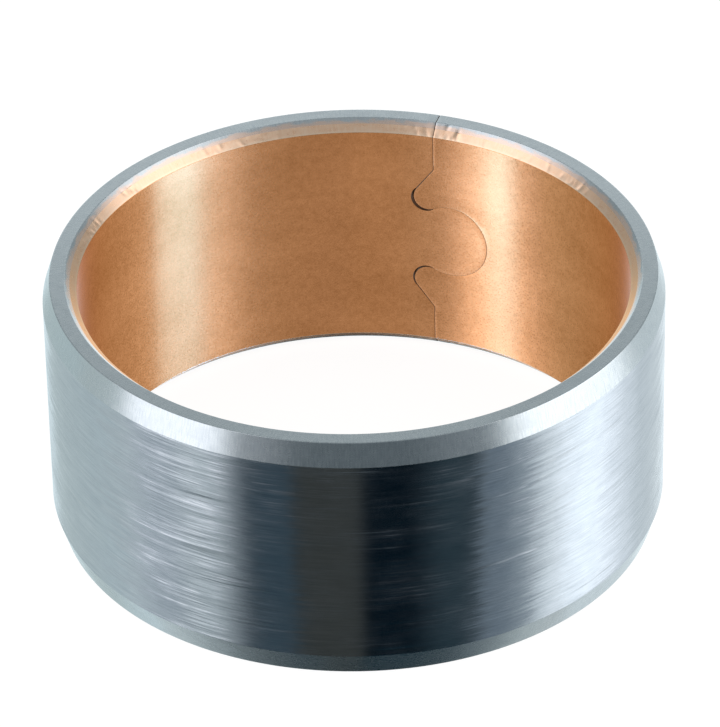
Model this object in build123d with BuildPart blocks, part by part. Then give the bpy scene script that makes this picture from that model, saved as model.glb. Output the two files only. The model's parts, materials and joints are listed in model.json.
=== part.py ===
"""Steel-backed bronze sleeve bushing, rolled from clad strip and locked by a clinch joint.

A strip of steel with a bronze bearing layer bonded to one side is blanked flat, rolled into a
ring with the bronze inwards, and machined to size.  Its two ends meet in one seam.  A round-headed
tab on one end snaps into a socket on the other, and two lobes beside the socket fill the notches
at the tab's neck, so that the ring cannot spring open before it is pressed into its housing.

Frame: millimetres, +Z along the bore axis, origin on that axis in the lower end face.
The seam lies on the +Y side, and the tab points towards +X.
"""

import os
from math import acos, atan2, cos, hypot, pi, radians, sin, sqrt, tan

from build123d import *

# Ring
outside_diameter = 45.0
bore_diameter = 40.0
width = 19.75
lining_thickness = 0.5
lead_in_length = 1.75  # chamfer on the outside diameter, measured along the axis
lead_in_angle = 17.5  # degrees from the axis
bore_chamfer = 0.85  # at 45 degrees

# Clinch joint, drawn on the plane that touches the ring at the seam
head_radius = 3.0
head_reach = 1.32  # from the seam line to the head's centre
lobe_radius = 1.1
lobe_setback = 0.46  # from the seam line to a lobe's centre, away from the head
corner_height = 6.15  # from mid-width to the corner where the straight seam turns off
seam_gap = 0.06
notch_gap = 0.22  # the most by which a notch is deeper than the lobe in it

# Sizes that follow
outside_radius = outside_diameter / 2
bore_radius = bore_diameter / 2
bond_radius = bore_radius + lining_thickness
face_outer_radius = outside_radius - lead_in_length * tan(radians(lead_in_angle))
face_inner_radius = bore_radius + bore_chamfer
overshoot = 1.0  # how far a cutter runs past what it cuts


def on_circle(centre, radius, angle):
    """The point at an angle, in radians, on a circle."""
    return (centre[0] + radius * cos(angle), centre[1] + radius * sin(angle))


def bearing(start, end):
    """The direction, in radians, from one point to another."""
    return atan2(end[1] - start[1], end[0] - start[0])


# Points on the joint's plane: X towards the tab's head, Y up from mid-width.
# The lobe's edge runs tangent into the head's, so the two radii set the lobe's height.
head = (head_reach, 0)
lobe = (-lobe_setback, sqrt((head_radius + lobe_radius) ** 2 - (head_reach + lobe_setback) ** 2))
corner = (0, corner_height)

# The lobe's edge starts where a line from the corner touches it and ends where it meets the head.
corner_distance = hypot(corner[0] - lobe[0], corner[1] - lobe[1])
flank_angle = bearing(lobe, corner) + acos(lobe_radius / corner_distance)
neck_angle = bearing(lobe, head) + 2 * pi
middle_angle = (flank_angle + neck_angle) / 2
flank = on_circle(lobe, lobe_radius, flank_angle)
lobe_middle = on_circle(lobe, lobe_radius, middle_angle)
neck = on_circle(lobe, lobe_radius, neck_angle)
notch_bottom = on_circle(lobe, lobe_radius + notch_gap, middle_angle)

# The gap between the strip's two ends, which the whole wall is cut through
with BuildSketch() as joint:
    with BuildLine() as seam_line:
        Line((0, width / 2 + overshoot), corner)
        Line(corner, flank)
        ThreePointArc(flank, lobe_middle, neck)
        ThreePointArc(neck, on_circle(head, head_radius, pi / 4), on_circle(head, head_radius, 0))
        mirror(about=Plane.XZ)
    trace(line_width=seam_gap)
    with BuildLine() as notch:
        ThreePointArc(flank, lobe_middle, neck)
        ThreePointArc(neck, notch_bottom, flank)
    make_face()
    mirror(make_face(notch.line, mode=Mode.PRIVATE), about=Plane.XZ)

with BuildSketch(Plane.XZ) as wall_section:
    with BuildLine() as outline:
        Polyline(
            (face_inner_radius, 0),
            (face_outer_radius, 0),
            (outside_radius, lead_in_length),
            (outside_radius, width - lead_in_length),
            (face_outer_radius, width),
            (face_inner_radius, width),
            (bore_radius, width - bore_chamfer),
            (bore_radius, bore_chamfer),
            close=True,
        )
    make_face()

joint_plane = Plane(
    origin=(0, bore_radius - overshoot, width / 2), x_dir=(1, 0, 0), z_dir=(0, -1, 0)
)
with BuildPart() as seam_cutter:
    with BuildSketch(joint_plane):
        add(joint.sketch)
    extrude(amount=-(outside_radius - bore_radius + 2 * overshoot))


def strip_layer(label, inner_radius, outer_radius):
    """One layer of the rolled strip: the wall between two radii, cut by the seam."""
    with BuildPart() as layer:
        with BuildSketch(Plane.XZ):
            with Locations((inner_radius, 0)):
                Rectangle(outer_radius - inner_radius, width, align=(Align.MIN, Align.MIN))
            add(wall_section.sketch_local, mode=Mode.INTERSECT)
        revolve(axis=Axis.Z)
        add(seam_cutter.part, mode=Mode.SUBTRACT)
    layer.part.label = label
    return layer


steel_backing = strip_layer("steel_backing", bond_radius, outside_radius)
bronze_lining = strip_layer("bronze_lining", bore_radius, bond_radius)

os.makedirs("parts", exist_ok=True)
for layer in (steel_backing, bronze_lining):
    export_step(layer.part, f"parts/{layer.part.label}.step")
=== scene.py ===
"""The sleeve bushing's looks: two detailed rings of ground steel and bronze, in a plain studio.

The CAD nodes are plain solids with sharp edges.  Each is replaced here by a mesh of the same
size with softened edges, a joint whose gap varies as the real one does, and small tool marks.
Lengths in this file are millimetres until a mesh is made, which is in metres.
Angles round the ring start at the seam, which faces +Y, and run clockwise seen from above.
"""

import json
import math

import bmesh
import bpy
import numpy as np
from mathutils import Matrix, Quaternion, Vector
from mathutils.geometry import delaunay_2d_cdt


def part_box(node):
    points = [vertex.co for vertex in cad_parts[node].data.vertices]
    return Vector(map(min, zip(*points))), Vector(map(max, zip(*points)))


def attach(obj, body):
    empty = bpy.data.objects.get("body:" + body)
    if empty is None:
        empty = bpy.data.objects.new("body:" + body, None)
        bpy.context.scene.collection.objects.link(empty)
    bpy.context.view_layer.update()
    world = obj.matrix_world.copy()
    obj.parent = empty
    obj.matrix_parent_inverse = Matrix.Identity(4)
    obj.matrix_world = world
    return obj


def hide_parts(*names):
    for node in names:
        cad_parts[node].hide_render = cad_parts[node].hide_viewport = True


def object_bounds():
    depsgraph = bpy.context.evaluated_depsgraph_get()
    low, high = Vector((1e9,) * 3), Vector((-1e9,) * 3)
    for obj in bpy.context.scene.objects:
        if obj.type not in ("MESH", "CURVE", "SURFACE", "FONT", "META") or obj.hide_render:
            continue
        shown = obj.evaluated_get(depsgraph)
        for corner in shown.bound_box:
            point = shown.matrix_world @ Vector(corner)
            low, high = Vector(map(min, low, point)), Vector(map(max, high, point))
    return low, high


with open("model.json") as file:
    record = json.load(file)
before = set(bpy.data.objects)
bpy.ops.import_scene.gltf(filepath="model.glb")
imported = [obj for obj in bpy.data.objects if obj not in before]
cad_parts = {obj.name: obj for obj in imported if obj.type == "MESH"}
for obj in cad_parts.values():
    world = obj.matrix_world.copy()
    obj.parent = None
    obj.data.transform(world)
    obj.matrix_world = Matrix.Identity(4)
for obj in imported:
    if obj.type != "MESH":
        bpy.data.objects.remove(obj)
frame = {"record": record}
cad_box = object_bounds()

MM = 0.001

# Ring sizes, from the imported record
MOUNTS = {mount["name"]: mount["dims"] for mount in frame["record"]["mounts"]}
OUTSIDE_RADIUS = MOUNTS["outside_diameter"]["r_mm"]
BORE_RADIUS = MOUNTS["bore"]["r_mm"]
WIDTH = (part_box("steel_backing")[1].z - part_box("steel_backing")[0].z) / MM
LEAD_IN_LENGTH = (WIDTH - MOUNTS["outside_diameter"]["length_mm"]) / 2
BORE_CHAMFER = (WIDTH - MOUNTS["bore"]["length_mm"]) / 2
LEAD_IN_ANGLE = math.radians(17.5)
LINING_THICKNESS = 0.5
BOND_RADIUS = BORE_RADIUS + LINING_THICKNESS
FACE_OUTER_RADIUS = OUTSIDE_RADIUS - LEAD_IN_LENGTH * math.tan(LEAD_IN_ANGLE)
FACE_INNER_RADIUS = BORE_RADIUS + BORE_CHAMFER
BOND_HEIGHT = FACE_INNER_RADIUS - BOND_RADIUS
MIDDLE = WIDTH / 2

# Softened edges of the section
LEAD_IN_EDGE = 0.12
FACE_OUTER_EDGE = 0.06
FACE_INNER_EDGE = 0.05
BORE_EDGE = 0.04

# Clinch joint, on the unrolled bore: x along the circumference, y up from mid-width
HEAD_RADIUS = 3.0
HEAD_REACH = 1.32
LOBE_RADIUS = 1.1
LOBE_SETBACK = 0.46
CORNER_HEIGHT = 6.15
SEAM_GAP = 0.055
HEAD_TIP_GAP = 0.032
NECK_GAP = 0.012
FLANK_GAP = 0.08
UPPER_NOTCH_GAP = 0.21
LOWER_NOTCH_GAP = 0.12
NOTCH_FULLNESS = 0.8  # below 1, a notch keeps its depth nearer to its ends

# How the sheet's ends sink towards the seam
EDGE_SINK = 0.008
EDGE_FADE = 0.04

# Mesh density
STATION_STEP = math.radians(1 / 3)
WINDOW_HALF_ANGLE = 45 * STATION_STEP
WINDOW_HALF_HEIGHT = 6.6
WINDOW_ROWS = 8
EDGE_ROWS = (0.03, 0.07)
CUT_ROWS = 4
SEAM_SPACING = 0.12
PATCH_SPACING = 0.4
SHARP_ANGLE = math.radians(35)
EDGE_ROW_ENDS = 4  # points left out at each end of a row beside the seam, clear of the border
JOIN_DISTANCE = 0.0005  # points closer than this become one
TOLERANCE = 1e-9  # of comparisons

# Nicks in the bore's chamfers: their sizes, and where they gather, in degrees from the seam
MARK_SEED = 7
MARK_SLANT = 0.9
MARK_LENGTH = (0.12, 0.3)
MARK_BREADTH = (0.08, 0.13)
MARK_DEPTH = (0.006, 0.025)
MARK_MARGIN = 0.02  # the chamfer's edges stay unmarked
MARK_GROUPS = [
    # centre, spread, how many, nearest to the bore, farthest
    (5, 2.5, 8, 0.05, 0.45),
    (36, 4, 10, 0.05, 0.45),
    (-71, 3, 8, 0.05, 0.45),
    (-87, 4, 16, 0.05, 0.45),
    (20, 12, 6, 0.05, 0.45),
    (-40, 30, 12, 0.05, 0.45),
    (180, 50, 16, 0.05, 0.45),
    (2.7, 0.2, 2, 0.68, 0.74),
]

# Camera
CAMERA_AZIMUTH = math.radians(17.9)
CAMERA_ELEVATION = math.radians(34.26)
CAMERA_ROLL = math.radians(-1.19)
CAMERA_DISTANCE = 429.5
AIM_RIGHT, AIM_UP = 0.33, 1.36
LENS = 291.1
SENSOR_WIDTH = 36
NEAR_CLIP = 0.01  # in metres

# Metals: each finish from its darkest colour to its palest, then single values
GROUND_STEEL = (0.38, 0.42, 0.47), (0.64, 0.67, 0.72)
TURNED_STEEL = (0.48, 0.53, 0.57), (0.62, 0.66, 0.68)
# painted shade: the steel's cut ends are coloured dark to stand for the shade in the joint's gap
CUT_STEEL_PAINTED_SHADE = (0.035, 0.018, 0.010), (0.10, 0.055, 0.032)
BORED_BRONZE = (0.52, 0.215, 0.080), (0.88, 0.405, 0.182)
TURNED_BRONZE = (0.92, 0.52, 0.31), (1.0, 0.78, 0.61)
# painted shade: the lining's cut ends are coloured dark to stand for the shade in the joint's gap
# and notches
CUT_BRONZE_PAINTED_SHADE = (0.07, 0.03, 0.015), (0.15, 0.07, 0.035)
SMEARED_BRONZE = (0.86, 0.62, 0.50)
# painted highlight: the pale colour laid along the bore's edge of the lining's chamfers
BORE_EDGE_PAINTED_HIGHLIGHT = (1.0, 0.75, 0.56)
CUT_ROUGHNESS = 0.7

# Tints of reflections at grazing angles
# painted shade: the cut steel's reflections get a dark tint, with its dark colour, for the shade
# in the joint's gap
CUT_STEEL_TINT = (0.14, 0.08, 0.05, 1)
BORED_BRONZE_TINT = (0.76, 0.48, 0.38, 1)
TURNED_BRONZE_TINT = (1.0, 0.71, 0.49, 1)

# Noise
NOISE_ROUGHNESS = 0.6
NOISE_RANGE = (0.3, 0.7)  # where nearly all its values lie

# Studio.  Azimuths are degrees to the right of the camera's direction, elevations are degrees.
ROOM_COLOUR = (0.62, 0.70, 0.70)
STUDIO_PANELS = [
    # name, left, right, side blur, bottom, top, end blur, colour
    ("ceiling", -360, 360, 1, 1, 90, 7, (0.34, 0.38, 0.39)),
    ("ceiling front", -70, 70, 20, 46, 90, 6, (0.43, 0.46, 0.47)),
    ("right wall", 100, 360, 8, -90, -2, 6, (0.63, 0.67, 0.67)),
    ("left wall", -170, -108, 12, -75, -14, 6, (0.58, 0.62, 0.59)),
    ("wall behind right", 158, 360, 8, -90, -2, 8, (1.02, 1.10, 1.12)),
    ("wall behind left", -360, -158, 8, -90, -2, 8, (0.95, 1.05, 1.07)),
    ("floor left", -165, -112, 10, -90, -52, 5, (0.90, 0.98, 1.0)),
    ("left dip", -90, -70, 5, -75, -14, 6, (0.47, 0.54, 0.57)),
    ("left shade", -50, -36, 9, -90, -12, 6, (0.13, 0.16, 0.18)),
    ("dark front", -41, 46, 2.5, -90, -4, 5, (0.0, 0.005, 0.010)),
    ("dark table", -76, 84, 6, -90, -54, 5, (0.01, 0.035, 0.05)),
    ("table left", -82, -40, 4, -90, -47, 4, (0.04, 0.06, 0.07)),
    ("grey front", -42, 46, 10, -4, 35, 5, (0.18, 0.21, 0.23)),
    ("grey front left", -44, -26, 8, -12, 35, 5, (0.40, 0.42, 0.44)),
    ("grey front right", 26, 50, 8, -12, 35, 5, (0.29, 0.32, 0.34)),
    ("left step", -41, -23, 3, -60, -14, 6, (0.045, 0.078, 0.10)),
    ("brown front", -24, 1, 3, -75, -14, 6, (0.055, 0.060, 0.055)),
    ("right step", 26, 46, 9, -60, -14, 6, (0.028, 0.052, 0.064)),
    ("blue step", 46, 60, 2, -60, -14, 6, (0.19, 0.24, 0.28)),
    ("blue step right", 59, 68, 3, -60, -14, 6, (0.27, 0.33, 0.37)),
    ("left softbox", -86, -46, 5, -22, 20, 6, (1.8, 1.8, 1.85)),
    ("left softbox top", -98, -50, 17, 20, 70, 6, (1.5, 1.5, 1.54)),
    ("right softbox", 54, 106, 7, -13, 20, 6, (2.2, 2.2, 2.2)),
    ("right softbox top", 64, 114, 16, 20, 70, 6, (1.55, 1.55, 1.55)),
    ("shade behind right", 160, 360, 5, -90, -48, 4, (0.03, 0.03, 0.03)),
    ("shade behind left", -360, -160, 5, -90, -48, 4, (0.03, 0.03, 0.03)),
]
# Lamps that one ring alone receives, as degrees seen from the ring
LAMPS = [
    # name, ring, azimuth, elevation, width, height, distance, radiance
    ("lining_left", "lining", -69.5, -49, 11, 32, 1000, (0.95, 3.45, 7.7)),
    ("lining_left_soft", "lining", -58, -48, 22, 32, 1000, (0.42, 0.47, 0.68)),
    ("lining_left_wide", "lining", -86, -52, 30, 28, 1000, (0.12, 0.20, 0.30)),
    ("lining_left_stripe", "lining", -88, -52, 5, 28, 1000, (0.8, 1.2, 2.3)),
    ("lining_right", "lining", 85, -51, 19, 32, 1000, (0.88, 3.5, 8.1)),
    ("lining_right_soft", "lining", 75, -48, 34, 32, 1000, (0.50, 0.62, 0.90)),
    ("lining_right_stripe", "lining", 105, -52, 14, 28, 1000, (0.40, 0.55, 0.80)),
    ("lining_fill", "lining", -6, -34, 120, 70, 1000, (0.52, 0.50, 0.46)),
    ("backing_left", "backing", -140, -34, 60, 50, 1000, (0.03, 0.09, 0.12)),
    ("backing_wide", "backing", 96, -34, 44, 26, 1000, (0.27, 0.27, 0.28)),
    ("backing_middle", "backing", 93, -34, 30, 26, 1000, (0.33, 0.33, 0.34)),
    ("backing_narrow", "backing", 92, -34, 17, 26, 1000, (0.25, 0.25, 0.25)),
    ("backing_right", "backing", 138, -34, 80, 46, 1000, (0.16, 0.20, 0.22)),
    ("backing_behind", "backing", 180, 20, 50, 29, 300, (0.66, 0.68, 0.68)),
]
FLOOR_SIZE = 4000
FLOOR_GLOW = 0.92
FLOOR_COLOUR = (0.21, 0.205, 0.20)


# ---------------------------------------------------------------- the ring's section


def rounded_corner(before, corner, after, radius, steps):
    """Points of the arc that rounds a corner of a section, or the corner alone if it is sharp."""
    if radius == 0:
        return [corner]
    to_before = (before - corner) / np.linalg.norm(before - corner)
    to_after = (after - corner) / np.linalg.norm(after - corner)
    half = math.acos(np.clip(to_before @ to_after, -1, 1)) / 2
    bisector = (to_before + to_after) / np.linalg.norm(to_before + to_after)
    centre = corner + bisector * radius / math.sin(half)
    first = corner + to_before * radius / math.tan(half) - centre
    last = corner + to_after * radius / math.tan(half) - centre
    turn = math.pi - 2 * half
    shares = np.linspace(0, 1, steps + 1)
    return [
        centre + (math.sin((1 - t) * turn) * first + math.sin(t * turn) * last) / math.sin(turn)
        for t in shares
    ]


class Section:
    """A closed outline in (radius, height), with the finish and the row spacing of each side."""

    HOLD = 0.04  # rows this close to a rounded edge keep its shading off the flat beside it
    ROUND_STEPS = 4

    def __init__(self, corners):
        """corners: (radius, height, edge radius, finish of the side that follows, rows on it)."""
        self.points, self.finishes = [], []
        place = [np.array(corner[:2], float) for corner in corners]
        count = len(corners)
        arcs = []
        for i in range(count):
            before, after = place[i - 1], place[(i + 1) % count]
            arcs.append(rounded_corner(before, place[i], after, corners[i][2], self.ROUND_STEPS))
        for i in range(count):
            finish, rows = corners[i][3:]
            start, end = arcs[i][-1], arcs[(i + 1) % count][0]
            length = np.linalg.norm(end - start)
            shares = list(np.linspace(0, 1, rows + 1)[1:-1])
            if corners[i][2]:
                shares.append(self.HOLD / length)
            if corners[(i + 1) % count][2]:
                shares.append(1 - self.HOLD / length)
            side = [start + (end - start) * share for share in sorted(shares)]
            self.points += arcs[i] + side
            self.finishes += [finish] * (len(arcs[i]) + len(side))
        self.points = np.array(self.points)
        ahead = np.roll(self.points, -1, axis=0) - self.points
        lengths = np.linalg.norm(ahead, axis=1)
        self.along = np.concatenate([[0], np.cumsum(lengths)])[:-1]
        outward = np.stack([ahead[:, 1], -ahead[:, 0]], axis=1) / lengths[:, None]
        self.normals = outward + np.roll(outward, 1, axis=0)
        self.normals /= np.linalg.norm(self.normals, axis=1)[:, None]

    def in_window(self, index):
        """Whether the side from this point to the next lies in the window, midway up a wall."""
        low, high = MIDDLE - WINDOW_HALF_HEIGHT, MIDDLE + WINDOW_HALF_HEIGHT
        here, after = self.points[index], self.points[(index + 1) % len(self.points)]
        upright = abs(here[0] - after[0]) < TOLERANCE
        return upright and all(
            low - TOLERANCE < point[1] < high + TOLERANCE for point in (here, after)
        )

    def along_at(self, radius, height):
        """How far along the outline a corner lies."""
        return self.along[np.abs(self.points - (radius, height)).sum(1).argmin()]


def steel_section():
    """The backing, from its lower bore chamfer round the outside to its bond with the lining."""
    low, high = MIDDLE - WINDOW_HALF_HEIGHT, MIDDLE + WINDOW_HALF_HEIGHT
    return Section([
        (BOND_RADIUS, BOND_HEIGHT, 0, "turned", 4),
        (FACE_INNER_RADIUS, 0, FACE_INNER_EDGE, "turned", 5),
        (FACE_OUTER_RADIUS, 0, FACE_OUTER_EDGE, "turned", 5),
        (OUTSIDE_RADIUS, LEAD_IN_LENGTH, LEAD_IN_EDGE, "ground", 2),
        (OUTSIDE_RADIUS, low, 0, "ground", WINDOW_ROWS),
        (OUTSIDE_RADIUS, high, 0, "ground", 2),
        (OUTSIDE_RADIUS, WIDTH - LEAD_IN_LENGTH, LEAD_IN_EDGE, "turned", 5),
        (FACE_OUTER_RADIUS, WIDTH, FACE_OUTER_EDGE, "turned", 5),
        (FACE_INNER_RADIUS, WIDTH, FACE_INNER_EDGE, "turned", 4),
        (BOND_RADIUS, WIDTH - BOND_HEIGHT, 0, "cut", 1),
        (BOND_RADIUS, high, 0, "cut", WINDOW_ROWS),
        (BOND_RADIUS, low, 0, "cut", 1),
    ])


def bronze_section():
    """The lining, from its lower chamfer along its bond with the backing to the bore."""
    low, high = MIDDLE - WINDOW_HALF_HEIGHT, MIDDLE + WINDOW_HALF_HEIGHT
    return Section([
        (BORE_RADIUS, BORE_CHAMFER, BORE_EDGE, "turned", 6),
        (BOND_RADIUS, BOND_HEIGHT, 0, "cut", 3),
        (BOND_RADIUS, low, 0, "cut", WINDOW_ROWS),
        (BOND_RADIUS, high, 0, "cut", 3),
        (BOND_RADIUS, WIDTH - BOND_HEIGHT, 0, "turned", 6),
        (BORE_RADIUS, WIDTH - BORE_CHAMFER, BORE_EDGE, "bored", 3),
        (BORE_RADIUS, high, 0, "bored", WINDOW_ROWS),
        (BORE_RADIUS, low, 0, "bored", 3),
    ])


# ---------------------------------------------------------------- the joint


def arc_points(centre, radius, start, stop):
    """Points along an arc, and the share of the way along it of each."""
    steps = math.ceil(abs(stop - start) * radius / SEAM_SPACING)
    shares = np.linspace(0, 1, steps + 1)
    angles = start + (stop - start) * shares
    return centre + radius * np.stack([np.cos(angles), np.sin(angles)], axis=1), shares


def line_points(start, stop):
    """Points along a straight stretch, and the share of the way along it of each."""
    steps = math.ceil(np.linalg.norm(stop - start) / SEAM_SPACING)
    shares = np.linspace(0, 1, steps + 1)
    return start + (stop - start) * shares[:, None], shares


def join_stretches(stretches):
    """One run of values, from stretches that each start where the one before ends."""
    return np.concatenate([stretches[0]] + [stretch[1:] for stretch in stretches[1:]])


def half_seam(notch_gap):
    """The seam from the tab's tip to the window's top: points, gap and extra notch depth."""
    head = np.array([HEAD_REACH, 0.0])
    lobe_height = math.sqrt((HEAD_RADIUS + LOBE_RADIUS) ** 2 - (HEAD_REACH + LOBE_SETBACK) ** 2)
    lobe = np.array([-LOBE_SETBACK, lobe_height])
    corner = np.array([0.0, CORNER_HEIGHT])
    to_lobe, to_corner = lobe - head, corner - lobe
    neck = math.atan2(to_lobe[1], to_lobe[0])
    flank = math.atan2(to_corner[1], to_corner[0])
    flank += math.acos(LOBE_RADIUS / np.linalg.norm(to_corner))
    flank_point = lobe + LOBE_RADIUS * np.array([math.cos(flank), math.sin(flank)])

    head_arc, head_share = arc_points(head, HEAD_RADIUS, 0, neck)
    lobe_arc, lobe_share = arc_points(lobe, LOBE_RADIUS, neck + math.pi, flank)
    flank_line, flank_share = line_points(flank_point, corner)
    straight, straight_share = line_points(corner, np.array([0.0, WINDOW_HALF_HEIGHT]))
    gaps = [
        HEAD_TIP_GAP + (NECK_GAP - HEAD_TIP_GAP) * head_share,
        NECK_GAP + (FLANK_GAP - NECK_GAP) * lobe_share,
        FLANK_GAP + (SEAM_GAP - FLANK_GAP) * flank_share,
        np.full_like(straight_share, SEAM_GAP),
    ]
    notches = [np.zeros_like(gap) for gap in gaps]
    notches[1] = notch_gap * np.sin(math.pi * lobe_share) ** NOTCH_FULLNESS
    points = join_stretches([head_arc, lobe_arc, flank_line, straight])
    return points, join_stretches(gaps), join_stretches(notches)


def seam_edges():
    """The tab's edge and the socket's edge, as points from the window's bottom to its top."""
    points, gap, notch = half_seam(UPPER_NOTCH_GAP)
    lower_points, lower_gap, lower_notch = half_seam(LOWER_NOTCH_GAP)
    points = np.concatenate([lower_points[:0:-1] * (1, -1), points])
    gap = np.concatenate([lower_gap[:0:-1], gap])
    notch = np.concatenate([lower_notch[:0:-1], notch])
    ahead = np.gradient(points, axis=0)
    ahead[[0, -1]] = (0, 1)
    ahead /= np.linalg.norm(ahead, axis=1)[:, None]
    towards_tab = np.stack([-ahead[:, 1], ahead[:, 0]], axis=1)
    tab_edge = points + towards_tab * (gap / 2 + notch)[:, None]
    socket_edge = points - towards_tab * (gap / 2)[:, None]
    return tab_edge, socket_edge


def distance_to_line(points, line):
    """The distance of each point from a line of straight pieces."""
    start, piece = line[:-1], np.diff(line, axis=0)
    away = points[:, None, :] - start[None]
    share = np.clip((away * piece).sum(2) / (piece**2).sum(1), 0, 1)
    return np.linalg.norm(away - share[..., None] * piece, axis=2).min(1)


def inside(points, outline):
    """Whether each point lies inside a closed outline, by counting the sides left of it."""
    x, y = points[:, 0, None], points[:, 1, None]
    after = np.roll(outline, -1, axis=0)
    crosses = (outline[:, 1] > y) != (after[:, 1] > y)
    rise = np.where(after[:, 1] == outline[:, 1], 1, after[:, 1] - outline[:, 1])
    crossing = outline[:, 0] + (y - outline[:, 1]) * (after[:, 0] - outline[:, 0]) / rise
    return (crosses & (x < crossing)).sum(1) % 2 == 1


class JointSide:
    """The window's surface on one side of the seam: points on the unrolled bore, and triangles."""

    KEEP_INSIDE = 1  # delaunay_2d_cdt's output type with only the triangles inside the border
    MERGE_DISTANCE = 1e-6

    def __init__(self, edge, sign, border_columns):
        """edge: the seam's edge on this side. sign: -1 on the tab's side, +1 on the socket's."""
        self.edge, self.sign = edge, sign
        columns = sign * border_columns
        rows = np.linspace(-WINDOW_HALF_HEIGHT, WINDOW_HALF_HEIGHT, WINDOW_ROWS + 1)
        top = [(x, WINDOW_HALF_HEIGHT) for x in columns[1:]]
        far = [(columns[-1], y) for y in rows[-2:0:-1]]
        bottom = [(x, -WINDOW_HALF_HEIGHT) for x in columns[:0:-1]]
        outline = np.array([*edge, *top, *far, *bottom])
        beside = [
            (edge + self.into_metal() * row)[EDGE_ROW_ENDS:-EDGE_ROW_ENDS] for row in EDGE_ROWS
        ]
        reach = 2 * math.ceil(WINDOW_HALF_HEIGHT / PATCH_SPACING)
        steps = np.arange(-reach, reach + 1) * PATCH_SPACING
        grid_x, grid_y = np.meshgrid(steps, steps * math.sqrt(0.75))
        grid_x[::2] += PATCH_SPACING / 2
        grid = np.stack([grid_x.ravel(), grid_y.ravel()], axis=1)
        grid = grid[inside(grid, outline)]
        grid = grid[distance_to_line(grid, np.vstack([outline, outline[:1]])) > PATCH_SPACING / 2]
        points = [Vector(point) for point in np.vstack([outline, *beside, grid])]
        border = [list(range(len(outline)))]
        flat, _, triangles, *_ = delaunay_2d_cdt(
            points, [], border, self.KEEP_INSIDE, self.MERGE_DISTANCE
        )
        self.points = np.array([point[:] for point in flat])
        self.triangles = [list(triangle) for triangle in triangles]
        self.distances = distance_to_line(self.points, edge)

    def into_metal(self):
        """The direction from the seam into this side's metal, at each point of the edge."""
        ahead = np.gradient(self.edge, axis=0)
        ahead /= np.linalg.norm(ahead, axis=1)[:, None]
        return self.sign * np.stack([ahead[:, 1], -ahead[:, 0]], axis=1)

    def angles(self, across):
        """Angles round the ring of places on the unrolled bore. The tab's follow a full turn."""
        return across / BORE_RADIUS + (0 if self.sign > 0 else 2 * math.pi)


# ---------------------------------------------------------------- ring meshes


def stations():
    """Angles of the ring's columns, clockwise from the seam, closest beside it."""
    beside = (SEAM_GAP / 2 + np.array([0, *EDGE_ROWS])) / BORE_RADIUS
    regular = np.arange(2, round(2 * math.pi / STATION_STEP) - 1) * STATION_STEP
    return np.concatenate([beside, regular, 2 * math.pi - beside[::-1]])


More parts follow.
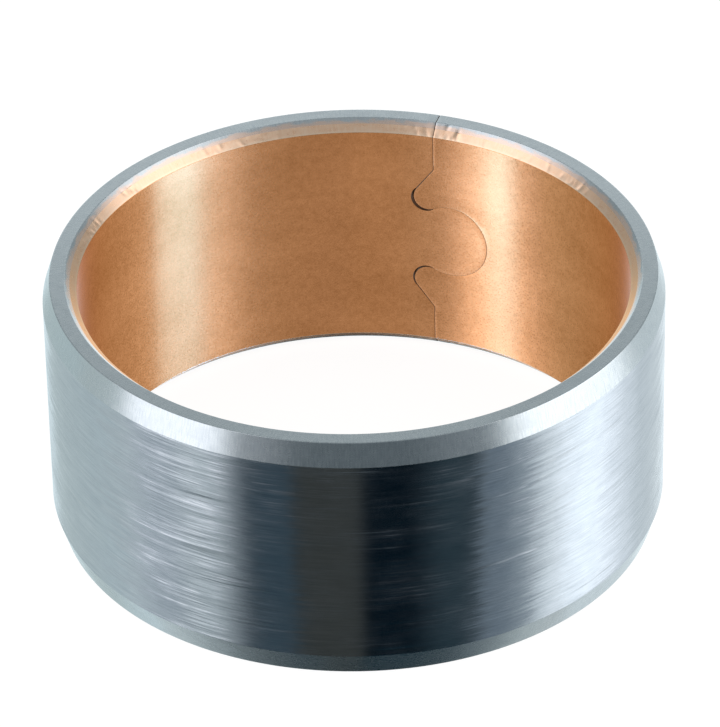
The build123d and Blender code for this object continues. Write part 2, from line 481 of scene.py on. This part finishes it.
class RingMesh:
    """Collects a ring's points and faces, then makes the object."""

    def __init__(self, name, section, wall_radius):
        """wall_radius: where the developed coordinates along the circumference are true."""
        self.name, self.section, self.wall_radius = name, section, wall_radius
        self.points, self.faces, self.finishes = [], [], []
        self.count = 0

    def add_points(self, angle, radius, height, along, normal, distance, follows=1.0):
        """Adds points and returns the index of the first. Single numbers apply to all of them.

        along: millimetres along the section. distance: from the seam. follows: 1 where marks and
        softened edges move the point, 0 where it stays.
        """
        values = (angle, radius, height, along, normal[..., 0], normal[..., 1], distance, follows)
        values = np.stack([value.ravel() for value in np.broadcast_arrays(*values)]).astype(float)
        first = self.count
        self.points.append(values)
        self.count += values.shape[1]
        return first

    def add_faces(self, faces, finish):
        """Adds faces, as lists of point indices, that share a finish."""
        self.faces += faces
        self.finishes += [finish] * len(faces)

    def add_section(self, angles):
        """Sweeps the section round the ring, and leaves out the window that the joint fills."""
        section = self.section
        count, size = len(angles), len(section.points)
        beside_seam = np.minimum(angles, 2 * math.pi - angles) * BORE_RADIUS - SEAM_GAP / 2
        self.swept_first, self.swept_columns = self.count, count
        first = self.add_points(
            angles[None, :],
            section.points[:, 0, None],
            section.points[:, 1, None],
            section.along[:, None],
            section.normals[:, None, :],
            beside_seam[None, :],
        )
        past_start = angles[:-1] >= WINDOW_HALF_ANGLE - TOLERANCE
        before_end = angles[1:] <= 2 * math.pi - WINDOW_HALF_ANGLE + TOLERANCE
        outside_window = np.flatnonzero(past_start & before_end)
        for row in range(size):
            here, after = first + row * count, first + (row + 1) % size * count
            kept = outside_window if section.in_window(row) else range(count - 1)
            faces = [[here + k, here + k + 1, after + k + 1, after + k] for k in kept]
            self.add_faces(faces, section.finishes[row])

    def add_patch(self, side, radius, outward, finish):
        """Puts one side of the window on a wall. outward: +1 on an outer wall, -1 on an inner."""
        along = self.section.along_at(radius, MIDDLE - WINDOW_HALF_HEIGHT)
        first = self.add_points(
            side.angles(side.points[:, 0]),
            radius,
            MIDDLE + side.points[:, 1],
            along + outward * (side.points[:, 1] + WINDOW_HALF_HEIGHT),
            np.array([float(outward), 0.0]),
            side.distances,
        )
        self.add_faces([[first + i for i in triangle] for triangle in side.triangles], finish)

    def add_cut_face(self, side):
        """Closes the ring's end on one side of the seam, from the inner wall to the outer."""
        inner, outer = self.section.points[:, 0].min(), self.section.points[:, 0].max()
        across = ((outer - inner) * np.linspace(0, 1, CUT_ROWS + 1))[:, None]
        on_walls = np.zeros((CUT_ROWS + 1, 1))
        on_walls[[0, -1]] = 1
        normal = np.zeros((CUT_ROWS + 1, 1, 2))
        normal[0, 0, 0], normal[-1, 0, 0] = -1, 1
        size = len(side.edge)
        first = self.add_points(
            side.angles(side.edge[None, :, 0]),
            inner + across,
            MIDDLE + side.edge[None, :, 1],
            across,
            normal,
            0.0,
            on_walls,
        )
        lines = [first + row * size for row in range(CUT_ROWS + 1)]
        faces = [
            [here + k, here + k + 1, after + k + 1, after + k]
            for here, after in zip(lines, lines[1:])
            for k in range(size - 1)
        ]
        self.add_faces(faces, "cut")
        between_walls = lines[1:-1]
        self.add_cut_end(side, between_walls, beyond_top=False)
        self.add_cut_end(side, [line + size - 1 for line in between_walls], beyond_top=True)

    def add_cut_end(self, side, across, beyond_top):
        """Closes the ring's end between the window and one end face.

        across: the points on the window's side, from the inner wall to the outer.
        """
        column = 0 if side.sign > 0 else self.swept_columns - 1
        heights = (self.section.points[:, 1] - MIDDLE) * (1 if beyond_top else -1)
        beyond = heights > WINDOW_HALF_HEIGHT - TOLERANCE
        start = next(i for i in range(len(beyond)) if beyond[i] and not beyond[i - 1])
        rows = [(start + i) % len(beyond) for i in range(int(beyond.sum()))]
        rim = [self.swept_first + row * self.swept_columns + column for row in rows]
        self.add_faces([rim + (across if beyond_top else across[::-1])], "cut")

    def make(self, materials):
        """Makes the object. materials: finish name to material."""
        values = np.concatenate(self.points, axis=1)
        angle, radius, height, along, normal_r, normal_z, distance, follows = values
        sink = EDGE_SINK * np.exp(-((distance / EDGE_FADE) ** 2))
        lift = follows * (mark_lift(angle, radius) - sink)
        radius = radius + lift * normal_r
        height = height + lift * normal_z
        place = np.stack([radius * np.sin(angle), radius * np.cos(angle), height], axis=1) * MM
        mesh = bpy.data.meshes.new(self.name)
        mesh.from_pydata(place.tolist(), [], self.faces)
        for material in materials.values():
            mesh.materials.append(material)
        names = list(materials)
        mesh.polygons.foreach_set("material_index", [names.index(name) for name in self.finishes])
        developed = mesh.attributes.new("developed", "FLOAT_VECTOR", "POINT")
        vectors = np.stack([angle * self.wall_radius, along, distance], axis=1)
        developed.data.foreach_set("vector", vectors.astype(np.float32).ravel())
        clean(mesh)
        ring = bpy.data.objects.new(self.name, mesh)
        bpy.context.scene.collection.objects.link(ring)
        return ring


def clean(mesh):
    """Joins points that meet, drops unused ones, and marks sharp edges."""
    bm = bmesh.new()
    bm.from_mesh(mesh)
    bmesh.ops.remove_doubles(bm, verts=bm.verts, dist=JOIN_DISTANCE * MM)
    unused = [vert for vert in bm.verts if not vert.link_faces]
    bmesh.ops.delete(bm, geom=unused, context="VERTS")
    bmesh.ops.triangulate(bm, faces=[face for face in bm.faces if len(face.verts) > 4])
    bmesh.ops.recalc_face_normals(bm, faces=bm.faces)
    for face in bm.faces:
        face.smooth = True
    for edge in bm.edges:
        edge.smooth = edge.calc_face_angle(math.pi) < SHARP_ANGLE
    open_edges = sum(1 for edge in bm.edges if len(edge.link_faces) != 2)
    print(mesh.name, "faces", len(bm.faces), "open edges", open_edges)
    bm.to_mesh(mesh)
    bm.free()


def mark_lift(angle, radius):
    """How far the nicks press the bore's chamfers in, as a negative lift.

    The same nicks fall on both chamfers.
    """
    rng = np.random.default_rng(MARK_SEED)
    outward = radius - BORE_RADIUS
    lift = np.zeros_like(angle)
    for centre, spread, count, nearest, farthest in MARK_GROUPS:
        for _ in range(count):
            place = math.radians(rng.normal(centre, spread))
            middle = rng.uniform(nearest, farthest)
            slant = rng.uniform(-MARK_SLANT, MARK_SLANT)
            length, breadth = rng.uniform(*MARK_LENGTH), rng.uniform(*MARK_BREADTH)
            depth = rng.uniform(*MARK_DEPTH)
            around = ((angle - place + math.pi) % (2 * math.pi) - math.pi) * BORE_RADIUS
            lengthwise = (outward - middle) * math.cos(slant) + around * math.sin(slant)
            across = around * math.cos(slant) - (outward - middle) * math.sin(slant)
            lift -= depth * np.exp(-((lengthwise / length) ** 2) - (across / breadth) ** 2)
    on_chamfer = (outward > MARK_MARGIN) & (radius < FACE_INNER_RADIUS - MARK_MARGIN)
    return np.where(on_chamfer, lift, 0)


def build_ring(name, section, walls, materials):
    """Makes a ring. walls: (radius, outward sense, finish) of the two walls with a window."""
    ring = RingMesh(name, section, walls[0][0])
    angles = stations()
    ring.add_section(angles)
    tab_edge, socket_edge = seam_edges()
    border = angles[angles <= WINDOW_HALF_ANGLE + TOLERANCE] * BORE_RADIUS
    for edge, sign in ((tab_edge, -1), (socket_edge, 1)):
        side = JointSide(edge, sign, border)
        for radius, outward, finish in walls:
            ring.add_patch(side, radius, outward, finish)
        ring.add_cut_face(side)
    return ring.make(materials)


# ---------------------------------------------------------------- node helpers


def add_node(tree, kind, inputs=None, **settings):
    """Adds a node, sets its properties, and sets or links its inputs. Returns its first output."""
    node = tree.nodes.new(kind)
    for key, value in settings.items():
        setattr(node, key, value)
    for key, value in (inputs or {}).items():
        if isinstance(value, bpy.types.NodeSocket):
            tree.links.new(value, node.inputs[key])
        else:
            node.inputs[key].default_value = value
    return node.outputs[0]


def calculate(tree, operation, *values):
    return add_node(tree, "ShaderNodeMath", dict(enumerate(values)), operation=operation)


def scale_add(tree, value, scale, add):
    """value x scale + add. Each is a socket or a number."""
    return calculate(tree, "MULTIPLY_ADD", value, scale, add)


def vector_math(tree, operation, *values):
    return add_node(tree, "ShaderNodeVectorMath", dict(enumerate(values)), operation=operation)


def map_range(tree, value, low, high, to_low=0.0, to_high=1.0, smooth=False):
    kind = "SMOOTHSTEP" if smooth else "LINEAR"
    inputs = {0: value, 1: low, 2: high, 3: to_low, 4: to_high}
    return add_node(tree, "ShaderNodeMapRange", inputs, interpolation_type=kind)


def spread_noise(tree, noise):
    """Noise whose usual values are spread over 0 to 1."""
    return map_range(tree, noise, *NOISE_RANGE)


def mix_colours(tree, factor, first, second):
    """Mixes two colours, each a socket or three numbers."""
    node = tree.nodes.new("ShaderNodeMix")
    node.data_type = "RGBA"
    tree.links.new(factor, node.inputs["Factor"])
    colour_sockets = [socket for socket in node.inputs if socket.type == "RGBA"]
    for socket, value in zip(colour_sockets, (first, second)):
        if isinstance(value, bpy.types.NodeSocket):
            tree.links.new(value, socket)
        else:
            socket.default_value = (*value, 1)
    return next(socket for socket in node.outputs if socket.type == "RGBA")


def streaks(tree, developed, length, thickness, slant=0.0, detail=2.0, shift=0.0):
    """Noise drawn out along the circumference: length along the ring, thickness across it."""
    turned = add_node(tree, "ShaderNodeMapping", {
        "Vector": developed,
        "Rotation": (0, 0, slant),
        "Location": (shift, shift, 0),
    })
    scaled = vector_math(tree, "MULTIPLY", turned, (1 / length, 1 / thickness, 0))
    return add_node(tree, "ShaderNodeTexNoise", {
        "Vector": scaled,
        "Scale": 1.0,
        "Detail": detail,
        "Roughness": NOISE_ROUGHNESS,
    }, noise_dimensions="2D")


def object_place(tree):
    """The radius and the height of the shaded point on the ring, in millimetres."""
    coordinates = tree.nodes.new("ShaderNodeTexCoord")
    place = vector_math(tree, "MULTIPLY", coordinates.outputs["Object"], (1 / MM, 1 / MM, 1 / MM))
    flat = vector_math(tree, "MULTIPLY", place, (1, 1, 0))
    length = tree.nodes.new("ShaderNodeVectorMath")
    length.operation = "LENGTH"
    tree.links.new(flat, length.inputs[0])
    parts = tree.nodes.new("ShaderNodeSeparateXYZ")
    tree.links.new(place, parts.inputs[0])
    return length.outputs["Value"], parts.outputs["Z"]


def tilted_normal(tree, height, depth, tilt, amount):
    """A bumped normal that also leans up or down, where tilt is above or below a half.

    depth: of the bumps, in millimetres.
    """
    bump = add_node(tree, "ShaderNodeBump", {
        "Height": height,
        "Strength": 1.0,
        "Distance": depth * MM,
    })
    share = scale_add(tree, tilt, amount, -amount / 2)
    upward = add_node(tree, "ShaderNodeCombineXYZ", {"Z": share})
    return vector_math(tree, "NORMALIZE", vector_math(tree, "ADD", bump, upward))


def metal(name, fill):
    """A metal whose colour, roughness and normal are made by fill(tree, shader, developed)."""
    material = bpy.data.materials.new(name)
    material.use_nodes = True
    tree = material.node_tree
    shader = tree.nodes["Principled BSDF"]
    shader.inputs["Metallic"].default_value = 1.0
    attribute = tree.nodes.new("ShaderNodeAttribute")
    attribute.attribute_name = "developed"
    fill(tree, shader, attribute.outputs["Vector"])
    return material


def brush_round(tree, shader, amount):
    """Blurs reflections across marks that run round the ring."""
    quarter_turn = 0.25
    shader.inputs["Anisotropic"].default_value = amount
    shader.inputs["Anisotropic Rotation"].default_value = quarter_turn
    around = add_node(tree, "ShaderNodeTangent", direction_type="RADIAL", axis="Z")
    tree.links.new(around, shader.inputs["Tangent"])


# ---------------------------------------------------------------- metals


def ground_steel(tree, shader, developed):
    """The outside: faint and bold grinding lines round the ring, on a slightly crowned wall."""
    bold = streaks(tree, developed, length=13.0, thickness=0.36, slant=0.03, detail=1)
    medium = streaks(tree, developed, length=9.0, thickness=0.14, slant=0.02, detail=1, shift=17)
    fine = streaks(tree, developed, length=4.0, thickness=0.06, slant=-0.02, shift=31)
    patches = streaks(tree, developed, length=5.0, thickness=2.5, detail=3, shift=57)
    blotches = streaks(tree, developed, length=1.4, thickness=0.7, detail=4, shift=73)
    shade = scale_add(tree, spread_noise(tree, blotches), scale=0.15, add=fine)
    colour = mix_colours(tree, shade, *GROUND_STEEL)
    tree.links.new(colour, shader.inputs["Base Color"])
    rough = scale_add(tree, patches, scale=0.16, add=0.12)
    tree.links.new(rough, shader.inputs["Roughness"])
    lines = scale_add(tree, bold, scale=0.7, add=medium)
    lines = scale_add(tree, fine, scale=0.6, add=lines)
    usual_lines = 1.15
    gathered = scale_add(tree, patches, scale=5.0, add=-0.2)
    lean = calculate(tree, "MULTIPLY", calculate(tree, "SUBTRACT", lines, usual_lines), gathered)
    lean = scale_add(tree, patches, scale=0.4, add=lean)
    _, height = object_place(tree)
    crown, start = 0.025, 0.05
    lean = scale_add(tree, height, scale=crown, add=lean)
    lean = calculate(tree, "ADD", lean, start)
    normal = tilted_normal(tree, lines, depth=0.0015, tilt=lean, amount=0.15)
    tree.links.new(normal, shader.inputs["Normal"])
    brush_round(tree, shader, amount=0.88)


def turned_steel(tree, shader, developed):
    """The end faces and chamfers: fine feed lines, and bronze smeared over the bore chamfer."""
    radius, _ = object_place(tree)
    lines = streaks(tree, developed, length=12.0, thickness=0.10, detail=1, shift=11)
    hatch = streaks(tree, developed, length=0.12, thickness=0.9, detail=1, shift=41)
    patches = streaks(tree, developed, length=1.5, thickness=0.6, detail=3, shift=23)
    steel = mix_colours(tree, hatch, *TURNED_STEEL)
    smear_place = scale_add(tree, patches, scale=-0.55, add=radius)
    smear_start, smear_end, smear_cover = BOND_RADIUS - 0.19, BOND_RADIUS + 0.03, 0.8
    smear = map_range(tree, smear_place, smear_start, smear_end, smear_cover, 0.0, smooth=True)
    colour = mix_colours(tree, smear, steel, SMEARED_BRONZE)
    tree.links.new(colour, shader.inputs["Base Color"])
    rough = scale_add(tree, patches, scale=0.14, add=0.20)
    tree.links.new(rough, shader.inputs["Roughness"])
    lean = scale_add(tree, hatch, scale=0.4, add=calculate(tree, "MULTIPLY", patches, 0.6))
    normal = tilted_normal(tree, lines, depth=0.001, tilt=lean, amount=0.12)
    tree.links.new(normal, shader.inputs["Normal"])
    brush_round(tree, shader, amount=0.6)


def cut_steel(tree, shader, developed):
    """The ends of the steel in the joint, and its bond with the lining, coloured dark as painted
    shade of the joint's gap.
    """
    patches = streaks(tree, developed, length=0.3, thickness=0.3, detail=4)
    colour = mix_colours(tree, patches, *CUT_STEEL_PAINTED_SHADE)
    tree.links.new(colour, shader.inputs["Base Color"])
    shader.inputs["Roughness"].default_value = CUT_ROUGHNESS
    shader.inputs["Specular Tint"].default_value = CUT_STEEL_TINT


def bored_bronze(tree, shader, developed):
    """The bore: satin, with a mottled colour, a fine grain and faint boring lines."""
    mottle = streaks(tree, developed, length=0.6, thickness=0.5, detail=5)
    clouds = streaks(tree, developed, length=9.0, thickness=5.0, shift=13)
    grain = streaks(tree, developed, length=0.16, thickness=0.14, detail=3, shift=5)
    shade = calculate(tree, "MULTIPLY", spread_noise(tree, clouds), 0.3)
    shade = scale_add(tree, spread_noise(tree, mottle), scale=0.3, add=shade)
    shade = scale_add(tree, spread_noise(tree, grain), scale=0.4, add=shade)
    colour = mix_colours(tree, shade, *BORED_BRONZE)
    tree.links.new(colour, shader.inputs["Base Color"])
    rough = scale_add(tree, grain, scale=0.16, add=0.21)
    tree.links.new(rough, shader.inputs["Roughness"])
    shader.inputs["Specular Tint"].default_value = BORED_BRONZE_TINT
    lines = streaks(tree, developed, length=3.0, thickness=0.08, shift=3)
    relief = scale_add(tree, grain, scale=0.6, add=lines)
    _, height = object_place(tree)
    barrel, start = -0.10, 1.0
    lean = scale_add(tree, height, scale=barrel, add=mottle)
    lean = calculate(tree, "ADD", lean, start)
    normal = tilted_normal(tree, relief, depth=0.0015, tilt=lean, amount=0.06)
    tree.links.new(normal, shader.inputs["Normal"])
    brush_round(tree, shader, amount=0.75)


def turned_bronze(tree, shader, developed):
    """The lining's chamfers, with a painted highlight: a pale colour along the bore's edge."""
    radius, _ = object_place(tree)
    patches = streaks(tree, developed, length=0.8, thickness=0.4, detail=4, shift=2)
    hatch = streaks(tree, developed, length=0.16, thickness=0.7, detail=2, shift=43)
    lines = streaks(tree, developed, length=6.0, thickness=0.08, detail=1, shift=19)
    shade = scale_add(tree, hatch, scale=0.5, add=calculate(tree, "MULTIPLY", patches, 0.5))
    bronze = mix_colours(tree, shade, *TURNED_BRONZE)
    # Painted highlight: the colour turns pale towards the bore's edge, where a bright line of
    # light runs
    highlight_start, highlight_end, highlight_cover = BORE_RADIUS + 0.02, BORE_RADIUS + 0.18, 0.8
    edge = map_range(tree, radius, highlight_start, highlight_end, highlight_cover, 0.0, smooth=True)
    colour = mix_colours(tree, edge, bronze, BORE_EDGE_PAINTED_HIGHLIGHT)
    tree.links.new(colour, shader.inputs["Base Color"])
    rough = scale_add(tree, patches, scale=0.15, add=0.22)
    tree.links.new(rough, shader.inputs["Roughness"])
    shader.inputs["Specular Tint"].default_value = TURNED_BRONZE_TINT
    normal = tilted_normal(tree, lines, depth=0.001, tilt=shade, amount=0.25)
    tree.links.new(normal, shader.inputs["Normal"])
    brush_round(tree, shader, amount=0.4)


def cut_bronze(tree, shader, developed):
    """The ends of the lining in the joint, and its bond with the backing, coloured dark as painted
    shade of the joint's gap.
    """
    patches = streaks(tree, developed, length=0.3, thickness=0.3, detail=4)
    colour = mix_colours(tree, patches, *CUT_BRONZE_PAINTED_SHADE)
    tree.links.new(colour, shader.inputs["Base Color"])
    shader.inputs["Roughness"].default_value = CUT_ROUGHNESS


# ---------------------------------------------------------------- studio


def panel_share(tree, azimuth, elevation, panel):
    """How much of a studio panel is seen in a direction, from 0 to 1."""
    _, left, right, side_blur, bottom, top, end_blur, _ = panel
    shares = [
        map_range(tree, azimuth, left - side_blur, left + side_blur, smooth=True),
        map_range(tree, azimuth, right - side_blur, right + side_blur, 1.0, 0.0, smooth=True),
        map_range(tree, elevation, bottom - end_blur, bottom + end_blur, smooth=True),
        map_range(tree, elevation, top - end_blur, top + end_blur, 1.0, 0.0, smooth=True),
    ]
    total = shares[0]
    for share in shares[1:]:
        total = calculate(tree, "MULTIPLY", total, share)
    return total


def add_world():
    """A room with soft panels round the object, seen in its reflections."""
    world = bpy.data.worlds.new("studio")
    world.use_nodes = True
    tree = world.node_tree
    coordinates = tree.nodes.new("ShaderNodeTexCoord")
    turned = add_node(tree, "ShaderNodeVectorRotate", {
        "Vector": coordinates.outputs["Generated"],
        "Angle": -CAMERA_AZIMUTH,
    }, rotation_type="Z_AXIS")
    parts = tree.nodes.new("ShaderNodeSeparateXYZ")
    tree.links.new(turned, parts.inputs[0])
    x, y, z = parts.outputs
    towards_camera = calculate(tree, "MULTIPLY", y, -1.0)
    azimuth = calculate(tree, "DEGREES", calculate(tree, "ARCTAN2", x, towards_camera))
    elevation = calculate(tree, "DEGREES", calculate(tree, "ARCSINE", z))
    colour = ROOM_COLOUR
    for panel in STUDIO_PANELS:
        share = panel_share(tree, azimuth, elevation, panel)
        colour = mix_colours(tree, share, colour, panel[-1])
    tree.links.new(colour, tree.nodes["Background"].inputs["Color"])
    bpy.context.scene.world = world


def add_lamps(rings):
    """Soft lamps that light one ring each, without bounces. rings: name in the table to object.

    Both rings are also left out of reflections, because the photo's bore shows no second
    reflection of itself.
    """
    receivers = {}
    for key, ring in rings.items():
        ring.visible_glossy = False
        receivers[key] = bpy.data.collections.new(key + "_only")
        receivers[key].objects.link(ring)
    for name, key, azimuth, elevation, width, height, distance, radiance in LAMPS:
        data = bpy.data.lights.new(name, "AREA")
        data.shape = "RECTANGLE"
        data.size = 2 * distance * MM * math.tan(math.radians(width / 2))
        data.size_y = 2 * distance * MM * math.tan(math.radians(height / 2))
        data.color = [channel / max(radiance) for channel in radiance]
        data.energy = max(radiance) * math.pi * data.size * data.size_y
        data.cycles.max_bounces = 0
        lamp = bpy.data.objects.new(name, data)
        bpy.context.scene.collection.objects.link(lamp)
        turn, rise = CAMERA_AZIMUTH + math.radians(azimuth), math.radians(elevation)
        source = Vector((
            math.sin(turn) * math.cos(rise),
            -math.cos(turn) * math.cos(rise),
            math.sin(rise),
        ))
        lamp.location = source * distance * MM
        lamp.rotation_mode = "QUATERNION"
        lamp.rotation_quaternion = source.to_track_quat("Z", "Y")
        lamp.light_linking.receiver_collection = receivers[key]


def add_floor():
    """A plain white table under the bushing, lit evenly, which the metal doesn't reflect."""
    half = FLOOR_SIZE / 2 * MM
    mesh = bpy.data.meshes.new("floor")
    corners = [(-half, -half, 0), (half, -half, 0), (half, half, 0), (-half, half, 0)]
    mesh.from_pydata(corners, [], [(0, 1, 2, 3)])
    floor = bpy.data.objects.new("floor", mesh)
    bpy.context.scene.collection.objects.link(floor)
    material = bpy.data.materials.new("floor")
    material.use_nodes = True
    shader = material.node_tree.nodes["Principled BSDF"]
    shader.inputs["Base Color"].default_value = (*FLOOR_COLOUR, 1)
    shader.inputs["Roughness"].default_value = 1.0
    shader.inputs["Specular IOR Level"].default_value = 0.0
    shader.inputs["Emission Color"].default_value = (1, 1, 1, 1)
    shader.inputs["Emission Strength"].default_value = FLOOR_GLOW
    mesh.materials.append(material)
    floor.visible_glossy = False
    floor.visible_shadow = False


def add_camera():
    """The photo's viewing angle, aimed a little beside the ring's centre."""
    low, high = cad_box
    centre = (low + high) / 2
    level = math.cos(CAMERA_ELEVATION)
    right = Vector((math.cos(CAMERA_AZIMUTH), math.sin(CAMERA_AZIMUTH), 0))
    back = Vector((right.y * level, -right.x * level, math.sin(CAMERA_ELEVATION)))
    up = back.cross(right)
    aim = centre + (right * AIM_RIGHT + up * AIM_UP) * MM
    data = bpy.data.cameras.new("camera")
    data.sensor_width = SENSOR_WIDTH
    data.lens = LENS
    data.clip_start = NEAR_CLIP
    camera = bpy.data.objects.new("camera", data)
    bpy.context.scene.collection.objects.link(camera)
    camera.location = centre + back * CAMERA_DISTANCE * MM
    camera.rotation_mode = "QUATERNION"
    towards_aim = (aim - camera.location).to_track_quat("-Z", "Y")
    camera.rotation_quaternion = towards_aim @ Quaternion((0, 0, 1), CAMERA_ROLL)
    bpy.context.scene.camera = camera


# ---------------------------------------------------------------- the bushing and its setting

steel_ring = build_ring("steel_ring", steel_section(), [
    (OUTSIDE_RADIUS, 1, "ground"),
    (BOND_RADIUS, -1, "cut"),
], {
    "ground": metal("ground_steel", ground_steel),
    "turned": metal("turned_steel", turned_steel),
    "cut": metal("cut_steel", cut_steel),
})
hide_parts("steel_backing")
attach(steel_ring, "root")

bronze_liner = build_ring("bronze_liner", bronze_section(), [
    (BORE_RADIUS, -1, "bored"),
    (BOND_RADIUS, 1, "cut"),
], {
    "bored": metal("bored_bronze", bored_bronze),
    "turned": metal("turned_bronze", turned_bronze),
    "cut": metal("cut_bronze", cut_bronze),
})
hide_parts("bronze_lining")
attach(bronze_liner, "root")

add_camera()
add_world()
add_lamps({"lining": bronze_liner, "backing": steel_ring})
add_floor()
bpy.context.scene.view_settings.view_transform = "Standard"
